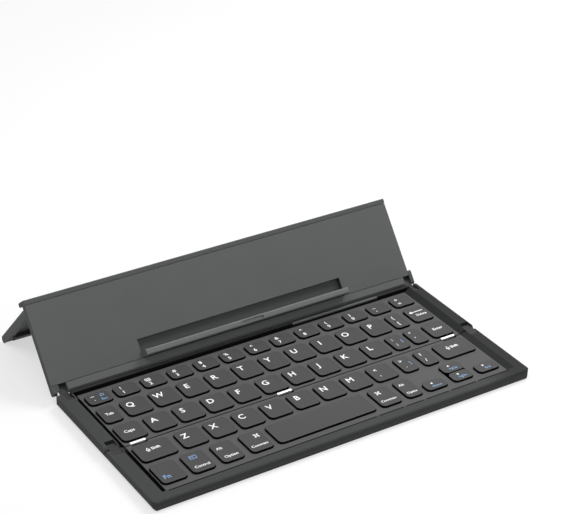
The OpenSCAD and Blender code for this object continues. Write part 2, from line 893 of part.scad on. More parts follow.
module stand_shell() {
    ear_r = 1.8;
    ear_top_r = 1.2;
    ear_top_u = 3.9;
    lip_u = seam_u - parting_w / 2;
    color([0.36, 0.37, 0.37])
        on_stand()
            difference() {
                union() {
                    // plate and spine
                    along_x(stand_x0, stand_x1)
                        soft_box(spine_u, top_u, -stand_t, -face_t, [1.6, 0, 0, 0.8]);
                    // bar along the top edge
                    along_x(stand_x0, stand_x1)
                        soft_box(bar_u, top_u + 0.1, -stand_full_t, 0, [1, 1.2, 0.6, 0]);
                    // left ear, in one plane with the face, and right ear outside the plate
                    along_x(ear_x[0][0], ear_x[0][1])
                        soft_box(spine_u, lip_u, -stand_t, 0, [ear_r, 0, 0, ear_r]);
                    along_x(ear_x[1][0], ear_x[1][1])
                        soft_box(spine_u, ear_top_u, -stand_t, 0,
                            [ear_r, ear_top_r, ear_top_r, ear_r]);
                    // lug beside the left ear
                    along_x(lug_gap_x[0] - 0.1, lug_gap_x[1])
                        soft_box(lug_end_u, lip_u, -stand_t, -lug_sunk, [0, 0, 0, 0.5]);
                    // lugs that carry the kickstand
                    for (x = lug_x)
                        along_x(x, x + lug_w) {
                            translate([pivot_u, -pivot_t])
                                circle(kick_r - 0.05);
                            translate([pivot_u - kick_r + 0.05, -pivot_t])
                                square([2 * kick_r - 0.1, pivot_t - stand_t + 0.1]);
                        }
                }
                stand_link_room();
                ledge_recess();
                // the spine is cut away under the left lug
                box(lug_gap_x[0], lug_gap_x[1] + margin, spine_u - margin, lug_end_u,
                    -stand_full_t, margin);
                // parting line between the plate and its face, at both ends
                box(stand_x0 - margin, stand_x0 + parting_w, seam_u, bar_u,
                    -face_t - parting_w, -face_t + margin);
                box(stand_x1 - parting_w, stand_x1 + margin, ear_top_u, bar_u,
                    -face_t - parting_w, -face_t + margin);
                // pins
                for (i = [0, 1])
                    rod_x(upper_pin_x(i)[0], upper_pin_x(i)[1], tip_u, -tip_t,
                        stand_pin_r + 0.01);
                for (x = lug_x)
                    rod_x(x - margin, x + lug_w + margin, pivot_u, -pivot_t,
                        kick_pin_r + 0.01);
                for (x = [ledge_x0, ledge_x1])
                    rod_x(x - 2.2, x + 2.2, ledge_u, -ledge_r, ledge_pin_r + 0.01);
            }
}

function upper_pin_x(i) = i == 0
    ? [stand_link_x[0] - 2.6, stand_link_x[0] + stand_link_w[0] + 3]
    : [stand_link_x[1] - 3, stand_link_x[1] + stand_link_w[1] + 1.6];

module stand_face() {
    color([0.39, 0.41, 0.41])
        on_stand()
            difference() {
                translate([0, 0, -face_t])
                    linear_extrude(face_t)
                        soft_box(stand_x0, stand_x1 - parting_w, seam_u + parting_w / 2,
                            bar_u - parting_w, [0.2, 0.2, 0.2, 0.2]);
                ledge_recess();
            }
}

module spine_strip() {
    color([0.42, 0.44, 0.44])
        on_stand()
            translate([0, 0, -face_t])
                linear_extrude(face_t)
                    soft_box(tip_slot_x[0][1] + 0.4, tip_slot_x[1][0] - 0.4, seam_u - strip_h,
                        seam_u - parting_w / 2, [0.3, 0.3, 0.3, 0.3]);
}

module upper_stand_pins() {
    color("silver")
        on_stand()
            for (i = [0, 1])
                rod_x(upper_pin_x(i)[0], upper_pin_x(i)[1], tip_u, -tip_t, stand_pin_r);
}

module kickstand_pins() {
    color("silver")
        on_stand()
            for (x = lug_x)
                rod_x(x - kick_pin_out, x + lug_w + kick_pin_out, pivot_u, -pivot_t, kick_pin_r);
}

module ledge_pins() {
    color("silver")
        on_stand()
            for (x = [ledge_x0, ledge_x1])
                rod_x(x - 2, x + 2, ledge_u, -ledge_r, ledge_pin_r);
}

// ================= kickstand =================

module kickstand() {
    x0 = stand_x0 + kickstand_inset;
    x1 = stand_x1 - kickstand_inset;
    rib_t = 1.2;
    pocket_y0 = 7;
    pocket_y1 = kick_len - 5;
    pocket_deep = 2.4;
    bays = 8;
    bay_w = (x1 - x0 - 2 * 3 - (bays - 1) * rib_t) / bays;
    color([0.3, 0.31, 0.31])
        on_stand()
            translate([0, pivot_u, -pivot_t])
                rotate([180 + kickstand_angle, 0, 0])
                    difference() {
                        along_x(x0, x1)
                            round_bar([0, 0], [kick_len, 0], kickstand_t);
                        // bays between ribs on the inner face
                        for (i = [0 : bays - 1])
                            translate([x0 + 3 + i * (bay_w + rib_t), pocket_y0,
                                -kick_r - margin])
                                cube([bay_w, pocket_y1 - pocket_y0, pocket_deep + margin]);
                        // notches for the lugs
                        for (x = lug_x)
                            box(x - 0.2, x + lug_w + 0.2, -kick_r - margin, kick_r + 0.3,
                                -kick_r - margin, kick_r + margin);
                        for (x = lug_x)
                            rod_x(x - kick_pin_out - 0.3, x + lug_w + kick_pin_out + 0.3, 0, 0,
                                kick_pin_r + running);
                        // relief over the stand links
                        for (x = tip_slot_x)
                            box(x[0] - 0.3, x[1] + 0.3, pivot_u - 4.5, kick_len + kick_r + margin,
                                -kick_r - margin, -kick_r + 0.6);
                    }
}

// ================= ledge =================

module ledge() {
    nose_r = 0.9;
    end_slope = 1.2;
    grip_w = 14;
    grip_h = 2;
    grip_deep = 0.7;
    grip_x = left_x + 123 * k;
    color([0.41, 0.43, 0.43])
        on_stand()
            difference() {
                union() {
                    rod_x(ledge_x0, ledge_x1, ledge_u, -ledge_r, ledge_r);
                    along_x(ledge_x0, ledge_x1)
                        soft_box(ledge_u - ledge_r, ledge_u + ledge_r, -ledge_r, ledge_reach,
                            [0, 0, nose_r, nose_r]);
                }
                // slanted ends
                for (side = [0, 1])
                    translate([side == 0 ? ledge_x0 : ledge_x1, 0, ledge_reach])
                        mirror([side, 0, 0])
                            translate([-margin, 0, 0])
                                rotate([0, atan2(end_slope, ledge_reach - 0.8), 0])
                                    translate([-10, 0, -ledge_reach])
                                        cube([10, 10, 2 * ledge_reach]);
                // finger grip in the front edge
                translate([grip_x, ledge_u, ledge_reach - grip_deep])
                    linear_extrude(grip_deep + margin)
                        round_bar([-(grip_w - grip_h) / 2, 0], [(grip_w - grip_h) / 2, 0],
                            grip_h);
                for (x = [ledge_x0, ledge_x1])
                    rod_x(x - 2.2, x + 2.2, ledge_u, -ledge_r, ledge_pin_r + running);
            }
}

// ================= keys =================

module tilde_key() { key_row([tilde], number_y0, number_key_d); }
module number_keys() { key_row(numbers, number_y0, number_key_d); }
module tab_key() { key_row([tab], top_y0, key_d); }
module top_letter_keys() { key_row(top_letters, top_y0, key_d); }
module bracket_key() { key_row([bracket], top_y0, key_d); }
module delete_key() { key_row([delete], top_y0, key_d); }
module caps_lock_key() { key_row([caps_lock], home_y0, key_d); }
module home_letter_keys() { key_row(home_letters, home_y0, key_d); }
module semicolon_quote_keys() { key_row(home_marks, home_y0, key_d); }
module enter_key() { key_row([enter], home_y0, key_d); }
module left_shift_key() { key_row([left_shift], bottom_y1 - key_d, key_d); }
module bottom_letter_keys() { key_row(bottom_letters, bottom_y1 - key_d, key_d); }
module period_slash_keys() { key_row(bottom_marks, bottom_y1 - key_d, key_d); }
module right_shift_key() { key_row([right_shift], bottom_y1 - key_d, key_d); }
module fn_key() { key_row([fn], front_row_y0, front_key_d); }
module control_key() { key_row([control], front_row_y0, front_key_d); }
module left_option_key() { key_row([left_option], front_row_y0, front_key_d); }
module left_command_key() { key_row([left_command], front_row_y0, front_key_d); }
module space_bar() { key_row([space], front_row_y0, front_key_d); }
module right_command_key() { key_row([right_command], front_row_y0, front_key_d); }
module right_option_key() { key_row([right_option], front_row_y0, front_key_d); }
module left_arrow_key() { key_row([left_arrow], front_row_y0, half_key_d); }
module up_arrow_key() { key_row([up_arrow], front_row_y0 + half_key_d + half_key_gap, half_key_d); }
module down_arrow_key() { key_row([up_arrow], front_row_y0, half_key_d); }
module right_arrow_key() { key_row([right_arrow], front_row_y0, half_key_d); }

middle_tray();
middle_bezel();
middle_key_plate();
middle_membrane();
middle_domes();
circuit_board();
battery();
charging_port();
rear_strip();
stop_tongues();
middle_feet();
middle_fold_pins();
lower_stand_pins();
fold_links();
front_tray();
front_bezel();
front_key_plate();
front_membrane();
front_domes();
front_feet();
front_fold_pins();
stand_links();
stand_shell();
stand_face();
spine_strip();
upper_stand_pins();
kickstand_pins();
ledge_pins();
kickstand();
ledge();
tilde_key();
number_keys();
tab_key();
top_letter_keys();
bracket_key();
delete_key();
caps_lock_key();
home_letter_keys();
semicolon_quote_keys();
enter_key();
left_shift_key();
bottom_letter_keys();
period_slash_keys();
right_shift_key();
fn_key();
control_key();
left_option_key();
left_command_key();
space_bar();
right_command_key();
right_option_key();
left_arrow_key();
up_arrow_key();
down_arrow_key();
right_arrow_key();
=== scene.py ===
# %% [markdown]
# # A folding keyboard with a tablet stand
# The imported model already has every rigid piece at its real size and place. This lesson gives
# each piece its finish, and models what a maker adds last: dished key caps with skirts painted
# black as painted shade, printed legends, the little tabs that hold the front deck, and the
# screws underneath.

# %% Load the fixed frame
import math

import bpy
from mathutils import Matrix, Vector


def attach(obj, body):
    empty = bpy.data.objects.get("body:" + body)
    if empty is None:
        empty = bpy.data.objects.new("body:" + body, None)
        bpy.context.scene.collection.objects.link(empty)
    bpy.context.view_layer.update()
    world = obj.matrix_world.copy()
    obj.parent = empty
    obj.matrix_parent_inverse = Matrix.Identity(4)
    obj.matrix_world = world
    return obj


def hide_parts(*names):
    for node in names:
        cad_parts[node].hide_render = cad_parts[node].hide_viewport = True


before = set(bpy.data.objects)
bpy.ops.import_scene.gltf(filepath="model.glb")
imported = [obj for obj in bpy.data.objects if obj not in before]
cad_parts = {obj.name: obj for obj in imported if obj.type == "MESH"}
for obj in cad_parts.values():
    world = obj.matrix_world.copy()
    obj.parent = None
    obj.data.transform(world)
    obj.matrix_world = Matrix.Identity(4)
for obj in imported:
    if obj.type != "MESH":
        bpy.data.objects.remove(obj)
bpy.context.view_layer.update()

mm = 0.001


# %% [markdown]
# The camera stands to the left of the keyboard and looks down on it from the front, with a long
# lens, so the key rows stay nearly parallel. A lens is set in millimetres on a 36 mm sensor.

# %% Place the camera
CAMERA_PLACE = (-0.4607, -0.7072, 0.5478)
CAMERA_TURN = (60.28, -1.75, -32.83)
CAMERA_LENS = 114.9

camera = bpy.data.cameras.new("camera")
camera.lens = CAMERA_LENS
camera.clip_start = 0.01
camera_object = bpy.data.objects.new("camera", camera)
camera_object.location = CAMERA_PLACE
camera_object.rotation_euler = [math.radians(angle) for angle in CAMERA_TURN]
bpy.context.scene.collection.objects.link(camera_object)
bpy.context.scene.camera = camera_object
bpy.context.scene.view_settings.view_transform = "Standard"
print("camera", CAMERA_LENS, "mm")


# %% [markdown]
# Soft studio light: one broad lamp overhead to the left, a nearer one at the right, so that the
# keys grow a little paler to the right, and a low one in front. Large lamps give the soft edges
# that a light tent gives.

# %% Hang the lamps
def hang_lamp(name, place, aim, width, power):
    """A round lamp that faces the aim."""
    lamp = bpy.data.lights.new(name, "AREA")
    lamp.shape = "DISK"
    lamp.size = width
    lamp.energy = power
    lamp_object = bpy.data.objects.new(name, lamp)
    lamp_object.location = place
    direction = Vector(aim) - Vector(place)
    lamp_object.rotation_euler = direction.to_track_quat("-Z", "Y").to_euler()
    bpy.context.scene.collection.objects.link(lamp_object)


hang_lamp("lamp_left", (-0.6, 0.0, 1.2), (0, 0, 0), 0.8, 5.0)
hang_lamp("lamp_right", (0.5, 0.1, 0.75), (0.05, 0, 0), 0.5, 5.6)
hang_lamp("lamp_front", (-0.2, -1.2, 1.0), (0, 0, 0), 0.9, 4.0)
print("3 lamps")


# %% [markdown]
# The world is the white tent itself. A ray from the camera sees plain white, and so does a ray
# that leaves shiny metal, while the light that falls on the object is set apart from that.

# %% Make the white tent
def new_node(tree, kind, **values):
    """A node of a kind, with its settings."""
    node = tree.nodes.new(kind)
    for name, value in values.items():
        setattr(node, name, value)
    return node


def seen_plainly(tree):
    """1 for rays from the camera, from gloss and through clear things, 0 for soft light."""
    path = new_node(tree, "ShaderNodeLightPath")
    gloss = new_node(tree, "ShaderNodeMath", operation="MAXIMUM")
    either = new_node(tree, "ShaderNodeMath", operation="MAXIMUM")
    tree.links.new(path.outputs["Is Glossy Ray"], gloss.inputs[0])
    tree.links.new(path.outputs["Is Transmission Ray"], gloss.inputs[1])
    tree.links.new(path.outputs["Is Camera Ray"], either.inputs[0])
    tree.links.new(gloss.outputs[0], either.inputs[1])
    return either.outputs[0]


TENT_LIGHT = 0.42

world = bpy.data.worlds.new("tent")
bpy.context.scene.world = world
world.use_nodes = True
tree = world.node_tree
tree.nodes.clear()
lit = new_node(tree, "ShaderNodeBackground")
lit.inputs["Color"].default_value = (1, 1, 1, 1)
lit.inputs["Strength"].default_value = TENT_LIGHT
seen = new_node(tree, "ShaderNodeBackground")
seen.inputs["Color"].default_value = (1, 1, 1, 1)
seen.inputs["Strength"].default_value = 1.0
mix = new_node(tree, "ShaderNodeMixShader")
out = new_node(tree, "ShaderNodeOutputWorld")
tree.links.new(seen_plainly(tree), mix.inputs["Fac"])
tree.links.new(lit.outputs[0], mix.inputs[1])
tree.links.new(seen.outputs[0], mix.inputs[2])
tree.links.new(mix.outputs[0], out.inputs["Surface"])
print("tent light", TENT_LIGHT)


# %% [markdown]
# The floor is pale card and keeps the object's soft shadow. Part of it glows white, but only
# for the camera and in reflections, so no extra light reaches the object.

# %% Lay the floor
FLOOR_GLOW = 0.6
FLOOR_SIZE = 8

bpy.ops.object.select_all(action="DESELECT")
bpy.ops.mesh.primitive_plane_add(size=FLOOR_SIZE, location=(0, 0, 0))
floor = bpy.context.object
floor.name = "floor"
floor_look = bpy.data.materials.new("pale_floor")
floor_look.use_nodes = True
tree = floor_look.node_tree
tree.nodes.clear()
card = new_node(tree, "ShaderNodeBsdfDiffuse")
card.inputs["Color"].default_value = (0.85, 0.85, 0.85, 1)
glow = new_node(tree, "ShaderNodeEmission")
glow.inputs["Color"].default_value = (1, 1, 1, 1)
share = new_node(tree, "ShaderNodeMath", operation="MULTIPLY")
share.inputs[1].default_value = FLOOR_GLOW
mix = new_node(tree, "ShaderNodeMixShader")
out = new_node(tree, "ShaderNodeOutputMaterial")
tree.links.new(seen_plainly(tree), share.inputs[0])
tree.links.new(share.outputs[0], mix.inputs["Fac"])
tree.links.new(card.outputs[0], mix.inputs[1])
tree.links.new(glow.outputs[0], mix.inputs[2])
tree.links.new(mix.outputs[0], out.inputs["Surface"])
floor.data.materials.append(floor_look)
print("floor laid")


# %% [markdown]
# ## Effects that the finishes share
# Each effect is a node group with named inputs, built once and placed in every material that
# shows it. A group gives back only colours, masks and values; the shader stays outside it.

# %% Helpers for node groups
def new_group(name, inputs, outputs):
    """A group with its sockets. An input is a name, a kind and a first value."""
    group = bpy.data.node_groups.new(name, "ShaderNodeTree")
    for title, kind, value in inputs:
        made = group.interface.new_socket(name=title, in_out="INPUT", socket_type=kind)
        made.default_value = value
    for title, kind in outputs:
        group.interface.new_socket(name=title, in_out="OUTPUT", socket_type=kind)
    given = new_node(group, "NodeGroupInput")
    made = new_node(group, "NodeGroupOutput")
    return group, given.outputs, made.inputs


NUMBER = "NodeSocketFloat"
COLOR = "NodeSocketColor"
ARROW = "NodeSocketVector"


def math_node(tree, operation, first, second=None, third=None):
    """One sum. Each term is a socket or a plain number."""
    node = new_node(tree, "ShaderNodeMath", operation=operation)
    for slot, term in enumerate((first, second, third)):
        if isinstance(term, (int, float)):
            node.inputs[slot].default_value = term
        elif term is not None:
            tree.links.new(term, node.inputs[slot])
    return node.outputs[0]


def ramp(tree, value, start, end):
    """Rises smoothly from 0 at start to 1 at end."""
    node = new_node(tree, "ShaderNodeMapRange", interpolation_type="SMOOTHSTEP")
    node.inputs["From Min"].default_value = start
    node.inputs["From Max"].default_value = end
    tree.links.new(value, node.inputs["Value"])
    return node.outputs["Result"]


print("group helpers ready")


# %% [markdown]
# Moulded plastic has a fine spark-eroded texture: thousands of tiny pits that scatter light.
# One fine noise makes the pits in the bump and in the roughness, a second one, about as coarse
# as a grain of salt, speckles the colour, and a broad one gives the faint clouds that handling
# leaves. All three read object coordinates, so they move with the piece.

# %% Moulded grain
SPECK_SCALE = 1500.0
CLOUD_SCALE = 45.0
PIT_GLOSS = 0.16
PIT_HEIGHT = 0.03 * mm


def make_moulded_grain():
    group, given, made = new_group(
        "moulded_grain",
        [("Color", COLOR, (0.1, 0.1, 0.1, 1)), ("Rough", NUMBER, 0.5),
         ("Grain Scale", NUMBER, 3000.0), ("Grain Depth", NUMBER, 0.2),
         ("Speckle", NUMBER, 0.1), ("Clouds", NUMBER, 0.1)],
        [("Color", COLOR), ("Rough", NUMBER), ("Normal", ARROW)])
    place = new_node(group, "ShaderNodeTexCoord")

    def noise(scale, detail):
        node = new_node(group, "ShaderNodeTexNoise")
        node.inputs["Detail"].default_value = detail
        if isinstance(scale, (int, float)):
            node.inputs["Scale"].default_value = scale
        else:
            group.links.new(scale, node.inputs["Scale"])
        group.links.new(place.outputs["Object"], node.inputs["Vector"])
        return node.outputs["Fac"]

    pits = noise(given["Grain Scale"], 2.0)
    specks = noise(SPECK_SCALE, 1.0)
    clouds = noise(CLOUD_SCALE, 3.0)
    speckled = math_node(group, "MULTIPLY", math_node(group, "SUBTRACT", specks, 0.5),
                         given["Speckle"])
    clouded = math_node(group, "MULTIPLY", math_node(group, "SUBTRACT", clouds, 0.5),
                        given["Clouds"])
    gain = math_node(group, "ADD", math_node(group, "ADD", speckled, clouded), 1.0)
    tint = new_node(group, "ShaderNodeVectorMath", operation="SCALE")
    group.links.new(given["Color"], tint.inputs[0])
    group.links.new(gain, tint.inputs["Scale"])
    group.links.new(tint.outputs[0], made["Color"])
    group.links.new(math_node(group, "MULTIPLY_ADD", pits, PIT_GLOSS, given["Rough"]),
                    made["Rough"])
    bump = new_node(group, "ShaderNodeBump")
    bump.inputs["Distance"].default_value = PIT_HEIGHT
    group.links.new(given["Grain Depth"], bump.inputs["Strength"])
    group.links.new(pits, bump.inputs["Height"])
    group.links.new(bump.outputs["Normal"], made["Normal"])
    return group


moulded_grain = make_moulded_grain()
print("node group", moulded_grain.name)


# %% [markdown]
# Edges are painted paler, a painted highlight where light catches them. The Bevel node rounds
# the normal near an edge; where it turns away from the true normal there is an edge. The mask is
# that difference, stretched to run from 0 to 1.

# %% Painted edge highlight
EDGE_TURN = (0.01, 0.16)


def make_painted_edge_highlight():
    group, given, made = new_group(
        "painted_edge_highlight", [("Width", NUMBER, 0.3 * mm)], [("Mask", NUMBER)])
    rounded = new_node(group, "ShaderNodeBevel", samples=4)
    true = new_node(group, "ShaderNodeNewGeometry")
    turned = new_node(group, "ShaderNodeVectorMath", operation="DOT_PRODUCT")
    group.links.new(given["Width"], rounded.inputs["Radius"])
    group.links.new(rounded.outputs["Normal"], turned.inputs[0])
    group.links.new(true.outputs["Normal"], turned.inputs[1])
    away = math_node(group, "SUBTRACT", 1.0, turned.outputs["Value"])
    group.links.new(ramp(group, away, *EDGE_TURN), made["Mask"])
    return group


painted_edge_highlight = make_painted_edge_highlight()
print("node group", painted_edge_highlight.name)


# %% [markdown]
# Walls are painted darker than top faces, a painted shade for the light that falls less on them.
# The mask is 1 where a face stands upright and 0 where it lies flat, from the object's own
# normal. A face counts as upright until its normal rises past the steepness given.

# %% Upright faces, for painted wall shade
UPRIGHT_BLEND = (0.6, 1.4)


def make_painted_wall_shade():
    group, given, made = new_group(
        "painted_wall_shade", [("Steepness", NUMBER, 0.35)], [("Mask", NUMBER)])
    place = new_node(group, "ShaderNodeTexCoord")
    parts = new_node(group, "ShaderNodeSeparateXYZ")
    group.links.new(place.outputs["Normal"], parts.inputs[0])
    lying = math_node(group, "ABSOLUTE", parts.outputs["Z"])
    over = math_node(group, "DIVIDE", lying, given["Steepness"])
    flat = ramp(group, over, *UPRIGHT_BLEND)
    group.links.new(math_node(group, "SUBTRACT", 1.0, flat), made["Mask"])
    return group


painted_wall_shade = make_painted_wall_shade()
print("node group", painted_wall_shade.name)


# %% [markdown]
# ## Finishes
# A finish is a Principled shader fed by the groups: the colour gets painted shade on the walls,
# a painted highlight along the edges and then its grain. What is the same all over a surface,
# such as metalness or specular level, is set on the shader's own sockets.

# %% Colour helpers
def grey(level, tint=(1.0, 1.0, 1.0)):
    """A screen grey from 0 to 255 as a linear colour."""
    share = level / 255
    linear = share / 12.92 if share <= 0.04045 else ((share + 0.055) / 1.055) ** 2.4
    return (linear * tint[0], linear * tint[1], linear * tint[2], 1)


def mixed(tree, share, first, second):
    """The first colour, going to the second where the share is 1."""
    node = new_node(tree, "ShaderNodeMix", data_type="RGBA")
    tree.links.new(share, node.inputs["Factor"])
    for socket, colour in ((node.inputs["A"], first), (node.inputs["B"], second)):
        if isinstance(colour, tuple):
            socket.default_value = colour
        else:
            tree.links.new(colour, socket)
    return node.outputs["Result"]


SOFT_END = 0.2 * mm


def between(tree, value, start, end):
    """1 between two places, with a soft end at each."""
    inside = ramp(tree, value, start, start + SOFT_END)
    outside = ramp(tree, value, end - SOFT_END, end)
    return math_node(tree, "SUBTRACT", inside, outside)


def scaled(colour, gain):
    """The same colour, lighter or darker."""
    return (colour[0] * gain, colour[1] * gain, colour[2] * gain, 1)


print("colour helpers ready")


# %% [markdown]
# Painted shade: the rims grow darker towards the right end, where the real ones only catch less
# light, and the low wall behind the number keys is painted nearly black inside and dark on top,
# a painted shadow. Both places are told by the piece's own coordinates.

# %% A finish maker
# Where the painted shade towards the right end ramps in.
RIGHT_END = (85 * mm, 112 * mm)
WALL_ENDS = (-110.0 * mm, 112.0 * mm)
WALL_SIDES = (13.9 * mm, 15.8 * mm)
WALL_TOP = (14.3 * mm, 14.5 * mm)
# Painted shadow: how dark the wall behind the number keys is painted inside.
WALL_SHADOW_BLACK = 0.02


def finish(name, color, rough, scale=3000, depth=0.2, clouds=0.12, speckle=0.1, metallic=0.0,
           specular=0.2, wall_shade=None, edge=0.0, edge_highlight_width=0.3, right=None, rear_shadow=None):
    """A material. Its wall, edge, right and rear gains scale the colour there as painted light:
    painted shade on walls, a painted highlight on edges, painted shade towards the right end and
    a painted shadow on the wall behind the number keys.
    """
    look = bpy.data.materials.new(name)
    look.use_nodes = True
    tree = look.node_tree
    shader = tree.nodes["Principled BSDF"]
    shader.inputs["Metallic"].default_value = metallic
    shader.inputs["Specular IOR Level"].default_value = specular
    grain = new_node(tree, "ShaderNodeGroup", node_tree=moulded_grain)
    grain.inputs["Color"].default_value = color
    grain.inputs["Rough"].default_value = rough
    grain.inputs["Grain Scale"].default_value = scale
    grain.inputs["Grain Depth"].default_value = depth
    grain.inputs["Speckle"].default_value = speckle
    grain.inputs["Clouds"].default_value = clouds
    base = color
    place = new_node(tree, "ShaderNodeTexCoord")
    parts = new_node(tree, "ShaderNodeSeparateXYZ")
    tree.links.new(place.outputs["Object"], parts.inputs[0])
    # Painted shade: the colour is darkened towards the right end.
    if right is not None:
        base = mixed(tree, ramp(tree, parts.outputs["X"], *RIGHT_END), base,
                     scaled(color, right))
    # Painted shade: upright faces are darkened by the wall gain.
    if wall_shade is not None:
        mask = new_node(tree, "ShaderNodeGroup", node_tree=painted_wall_shade)
        base = mixed(tree, mask.outputs["Mask"], base, scaled(color, wall_shade))
    # Painted highlight: the colour is made paler along the edges.
    if edge:
        mask = new_node(tree, "ShaderNodeGroup", node_tree=painted_edge_highlight)
        mask.inputs["Width"].default_value = edge_highlight_width * mm
        base = mixed(tree, mask.outputs["Mask"], base, scaled(color, 1 + edge))
    # Painted shadow: the low wall behind the number keys is darkened, near black inside.
    if rear_shadow is not None:
        along, back = parts.outputs["X"], parts.outputs["Y"]
        zone = math_node(tree, "MULTIPLY", between(tree, along, *WALL_ENDS),
                         between(tree, back, *WALL_SIDES))
        step = mixed(tree, ramp(tree, back, *WALL_TOP), scaled(color, WALL_SHADOW_BLACK),
                     scaled(color, rear_shadow))
        base = mixed(tree, zone, base, step)
    if not isinstance(base, tuple):
        tree.links.new(base, grain.inputs["Color"])
    tree.links.new(grain.outputs["Color"], shader.inputs["Base Color"])
    tree.links.new(grain.outputs["Rough"], shader.inputs["Roughness"])
    tree.links.new(grain.outputs["Normal"], shader.inputs["Normal"])
    return look


print("finish maker ready")


# %% [markdown]
# The case is one dark grey plastic with a matt texture, a shade cooler than neutral. The deck is
# a paler sheet. Its walls, the film and the domes under it are painted near black, a painted
# shade in the gaps, so the keys stand out.

# %% Mix the finishes
COOL = (0.97, 1.02, 1.0)
SLATE = (0.985, 1.01, 0.99)
looks = {
    "rim": finish("rim_plastic", grey(62, COOL), 0.5, depth=0.3, wall_shade=0.66, edge=0.7,
                  specular=0.1, right=0.42, rear_shadow=0.3),
    "tray": finish("tray_plastic", grey(56, COOL), 0.55, depth=0.35, wall_shade=0.66, edge=0.35),
    # Painted shade: the deck's upright faces are near black.
    "deck": finish("deck_plastic", grey(79, SLATE), 0.55, depth=0.25, wall_shade=0.03,
                   edge=0.4, edge_highlight_width=0.25),
    "key": finish("key_plastic", grey(64, SLATE), 0.42, scale=4200, depth=0.15, clouds=0.08),
    # Painted shade: the near-black skirt stands for the shadow on the caps' sides.
    "skirt": finish("key_skirt", grey(8), 0.6, scale=4200, depth=0.15, clouds=0.08,
                    specular=0.02),
    # Painted shade: a black strip that stands for the shadow line in front of the deck.
    "seal": finish("shade_line_black", grey(9), 0.65, scale=1400, depth=0.3, specular=0.1),
    # Painted shade: the film and domes are near black to darken the gaps between the keys.
    "film": finish("contact_film_shade_black", grey(10), 0.5, scale=500, depth=0.05, specular=0.1),
    "rubber": finish("dome_rubber", grey(10), 0.65, scale=900, depth=0.2, specular=0.1),
    "board": finish("board_green", (0.02, 0.1, 0.04, 1), 0.4, scale=700, depth=0.1),
    "pouch": finish("pouch_foil", (0.5, 0.52, 0.55, 1), 0.35, scale=900, depth=0.4,
                    metallic=0.9),
    "shell": finish("socket_steel", (0.6, 0.6, 0.62, 1), 0.28, scale=1500, depth=0.1,
                    metallic=1.0),
    "trim": finish("trim_plastic", grey(86, COOL), 0.35, depth=0.1, edge=0.4),
    "bright": finish("bright_steel", (0.78, 0.78, 0.79, 1), 0.45, scale=6000, depth=0.02,
                     speckle=0.02, clouds=0.03, metallic=1.0),
    "foot": finish("foot_rubber", grey(28), 0.75, scale=1400, depth=0.5),
    "screw": finish("black_screw", (0.06, 0.06, 0.065, 1), 0.35, scale=2500, depth=0.1,
                    metallic=1.0, edge=1.2, edge_highlight_width=0.08),
    "pin": finish("pin_steel", (0.55, 0.55, 0.57, 1), 0.25, scale=1800, depth=0.1, metallic=1.0),
    "link": finish("link_plastic", grey(46), 0.5, depth=0.25, wall_shade=0.6, edge=0.5),
    "stand": finish("stand_plastic", grey(74, COOL), 0.5, depth=0.3, wall_shade=0.5, edge=0.35),
    "face": finish("face_plastic", grey(84, COOL), 0.5, depth=0.3, wall_shade=0.5),
    "strip": finish("strip_plastic", grey(90, COOL), 0.45, depth=0.2, edge=0.25),
    "prop": finish("kickstand_plastic", grey(70, COOL), 0.5, depth=0.3, wall_shade=0.8, edge=0.3),
    "ledge": finish("ledge_plastic", grey(102, COOL), 0.45, depth=0.2, edge=0.3),
    "ink_white": finish("ink_white", grey(245), 0.45, scale=2500, depth=0.05, clouds=0.02,
                        speckle=0.02),
    "ink_blue": finish("ink_blue", (0.23, 0.36, 0.58, 1), 0.45, scale=2500, depth=0.05,
                       clouds=0.02, speckle=0.02),
}
print(len(looks), "finishes")


# %% [markdown]
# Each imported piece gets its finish. The key caps are left out here, because they are modelled
# again below.

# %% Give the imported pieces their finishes
piece_looks = {
    "rim": ["middle_bezel", "front_bezel"],
    "tray": ["middle_tray", "front_tray"],
    "deck": ["middle_key_plate", "front_key_plate"],
    "film": ["middle_membrane", "front_membrane"],
    "rubber": ["middle_domes", "front_domes"],
    "board": ["circuit_board"],
    "pouch": ["battery"],
    "shell": ["charging_port"],
    "trim": ["rear_strip"],
    "bright": ["stop_tongues"],
    "foot": ["middle_feet", "front_feet"],
    "pin": ["middle_fold_pins", "front_fold_pins", "lower_stand_pins", "upper_stand_pins",
            "kickstand_pins", "ledge_pins"],
    "link": ["fold_links", "stand_links"],
    "stand": ["stand_shell"],
    "face": ["stand_face"],
    "strip": ["spine_strip"],
    "prop": ["kickstand"],
    "ledge": ["ledge"],
}
for look_name, node_names in piece_looks.items():
    for node_name in node_names:
        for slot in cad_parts[node_name].material_slots:
            slot.material = looks[look_name]
print(sum(len(names) for names in piece_looks.values()), "pieces finished")


# %% [markdown]
# ## Key caps
# A real cap is a shallow hollow moulding: round corners, a soft top edge and a slight dish for
# the finger. It starts as a cube at the cap's size. The four upright edges are bevelled to the
# corner radius, then the edge round the top, and the top face is inset and lowered into a dish.
# The underside is inset and pushed up, which leaves the skirt. The skirt is painted near black,
# a painted shade for the shadow that falls on the cap's sides, so its faces get a second
# material.

# %% Tools for edit mode
def take(piece):
    """Makes a piece the only one selected, and the active one."""
    bpy.ops.object.select_all(action="DESELECT")
    piece.select_set(True)
    bpy.context.view_layer.objects.active = piece


def start_cube(name, low, high):
    """A cube that fills the box between two corners, ready for edit mode."""
    bpy.ops.object.select_all(action="DESELECT")
    bpy.ops.mesh.primitive_cube_add(size=1, location=(low + high) / 2, scale=high - low)
    piece = bpy.context.object
    piece.name = name
    bpy.ops.object.transform_apply(location=True, rotation=True, scale=True)
    return piece


